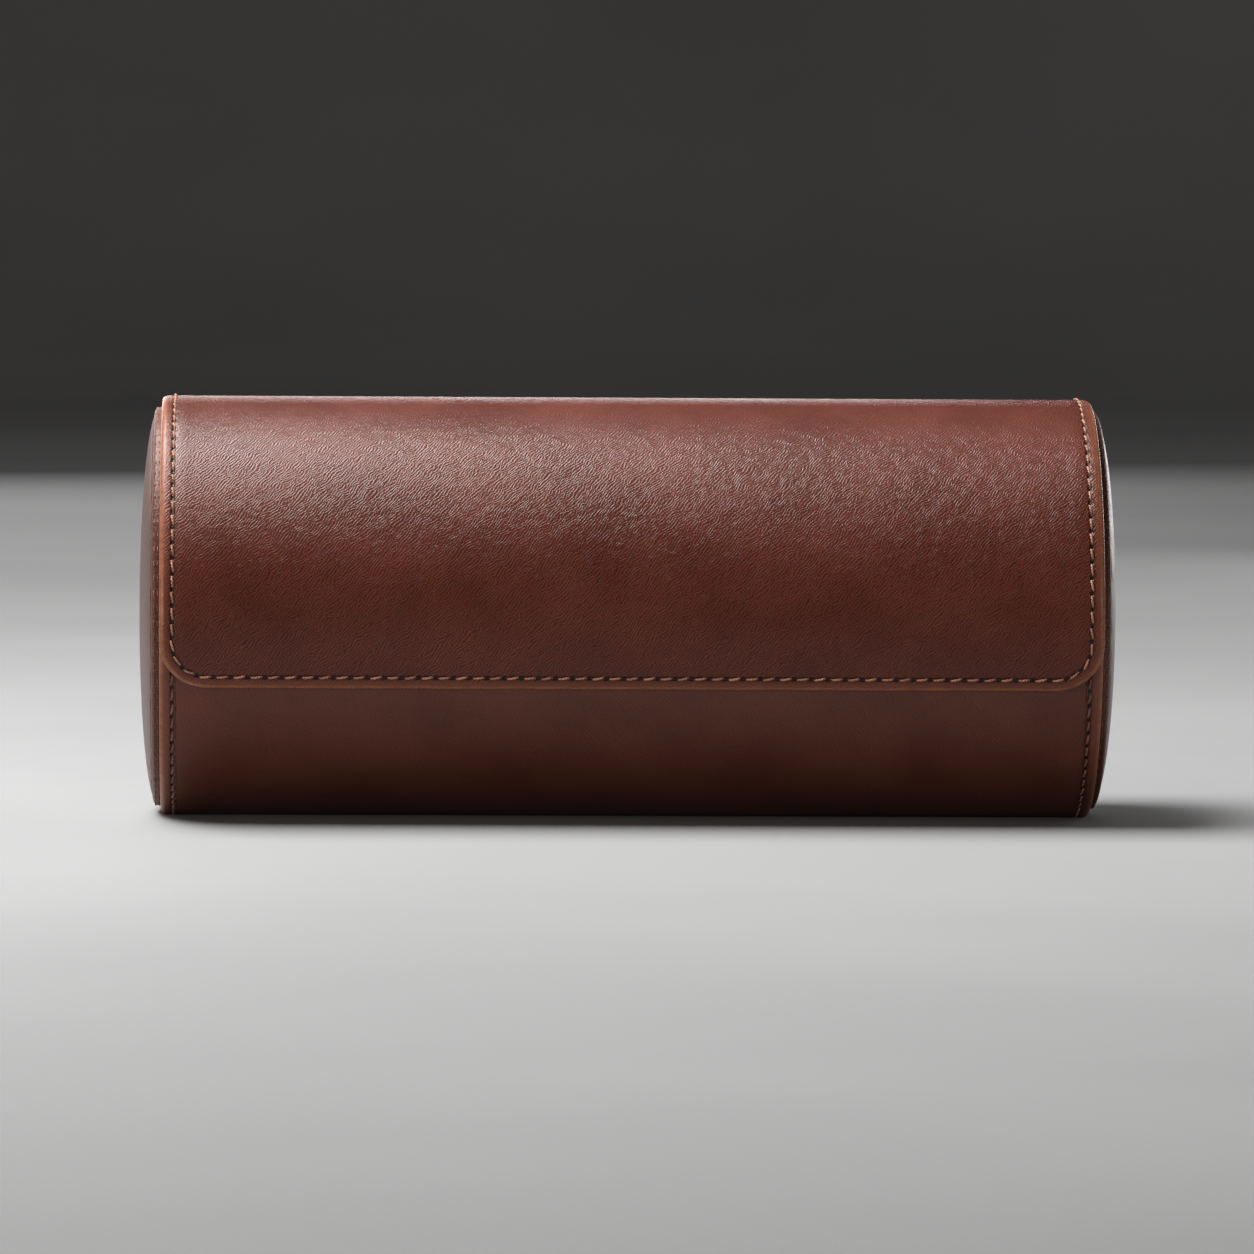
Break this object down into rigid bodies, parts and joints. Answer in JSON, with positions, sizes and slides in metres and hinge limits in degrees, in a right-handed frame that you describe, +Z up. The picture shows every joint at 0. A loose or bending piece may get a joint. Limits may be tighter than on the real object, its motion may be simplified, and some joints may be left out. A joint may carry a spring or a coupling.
{
  "type": "watch roll",
  "caption": "Cylindrical leather watch roll lying on its side, with a magnet-closed flap hinged along the back and removable padded watch pillows in lined compartments.",
  "frame": {"origin": "on the surface the roll rests on, under the middle of its closed outline", "axes": "+X along the roll, from its left end to its right end; -Y towards its front, where the flap closes; +Z up"},
  "size_m": [0.2044, 0.0898, 0.0877],
  "materials": {
    "wrap_leather": "satin",
    "end_leather": "satin",
    "band_leather": "satin",
    "thread": "satin",
    "lining_suede": "matte",
    "pillow_suede": "matte",
    "core_board": "matte",
    "foam": "matte",
    "magnet": "satin",
    "keeper_steel": "satin"
  },
  "bodies": {
    "case": {"case_core": "core_board", "case_lining": "lining_suede", "lip_binding": "wrap_leather", "body_wrap": "wrap_leather", "wrap_thread": "thread", "case_magnets": "magnet", "end_board_left": "core_board", "end_board_right": "core_board", "end_pad_left": "foam", "end_pad_right": "foam", "end_cover_left": "end_leather", "end_cover_right": "end_leather", "end_band_left": "band_leather", "end_band_right": "band_leather", "end_lining_left": "lining_suede", "end_lining_right": "lining_suede", "end_thread_left": "thread", "end_thread_right": "thread", "divider_board_left": "core_board", "divider_board_right": "core_board", "divider_cover_left": "lining_suede", "divider_cover_right": "lining_suede"},
    "flap": {"flap_leather": "wrap_leather", "flap_board": "core_board", "flap_lining": "lining_suede", "flap_keepers": "keeper_steel", "flap_thread": "thread"},
    "pillow_left": {"pillow_core_left": "foam", "pillow_sleeve_left": "pillow_suede", "pillow_ends_left": "pillow_suede"},
    "pillow_middle": {"pillow_core_middle": "foam", "pillow_sleeve_middle": "pillow_suede", "pillow_ends_middle": "pillow_suede"},
    "pillow_right": {"pillow_core_right": "foam", "pillow_sleeve_right": "pillow_suede", "pillow_ends_right": "pillow_suede"}
  },
  "joints": [
    {"name": "flap_hinge", "type": "hinge", "parent": "case", "child": "flap", "pos_m": [0, 0.03909, 0.06527], "axis": [-1, 0, 0], "range_deg": [0, 165]},
    {"name": "pillow_lift_left", "type": "slide", "parent": "case", "child": "pillow_left", "axis": [0, 0, 1], "range_m": [0, 0.09]},
    {"name": "pillow_lift_middle", "type": "slide", "parent": "case", "child": "pillow_middle", "axis": [0, 0, 1], "range_m": [0, 0.09]},
    {"name": "pillow_lift_right", "type": "slide", "parent": "case", "child": "pillow_right", "axis": [0, 0, 1], "range_m": [0, 0.09]}
  ],
  "couplings": [
    {"joint": "pillow_lift_left", "follows": "flap_hinge", "m_per_rad": 0.031},
    {"joint": "pillow_lift_middle", "follows": "flap_hinge", "m_per_rad": 0.031},
    {"joint": "pillow_lift_right", "follows": "flap_hinge", "m_per_rad": 0.031}
  ]
}
